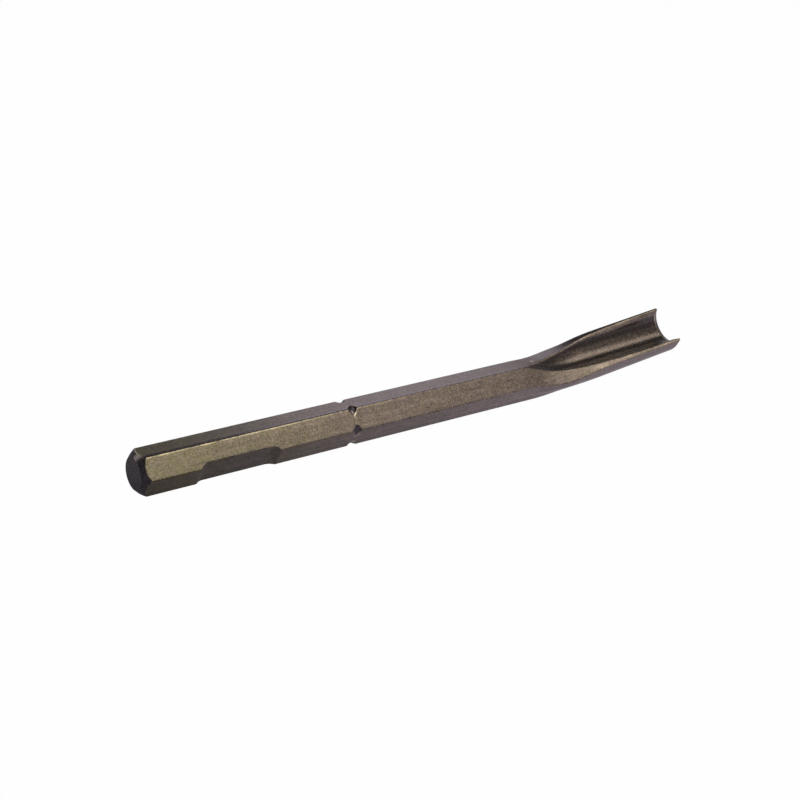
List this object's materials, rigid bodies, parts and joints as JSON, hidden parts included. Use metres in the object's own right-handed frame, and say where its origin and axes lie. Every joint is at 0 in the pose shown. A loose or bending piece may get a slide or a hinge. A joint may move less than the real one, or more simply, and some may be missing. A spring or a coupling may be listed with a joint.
{
  "type": "gouge",
  "caption": "Forged steel hollow gouge for a breaking hammer, with a hexagonal shank, a retainer notch, a ring groove and a raised blade hollowed to a round channel.",
  "frame": {"origin": "middle of the flat struck face, on the axis of the shank", "axes": "+X runs along the shank towards the cutting edge, and +Z is the outward normal of the flat opposite the one that the tool lies on; the channel opens 30 degrees from +Z towards -Y"},
  "size_m": [0.2817, 0.0279, 0.0295],
  "materials": {
    "steel": "satin, under a thin bronze-brown lacquer, mottled and worn bright on its edges"
  },
  "bodies": {
    "root": {"gouge": "steel"}
  },
  "joints": []
}
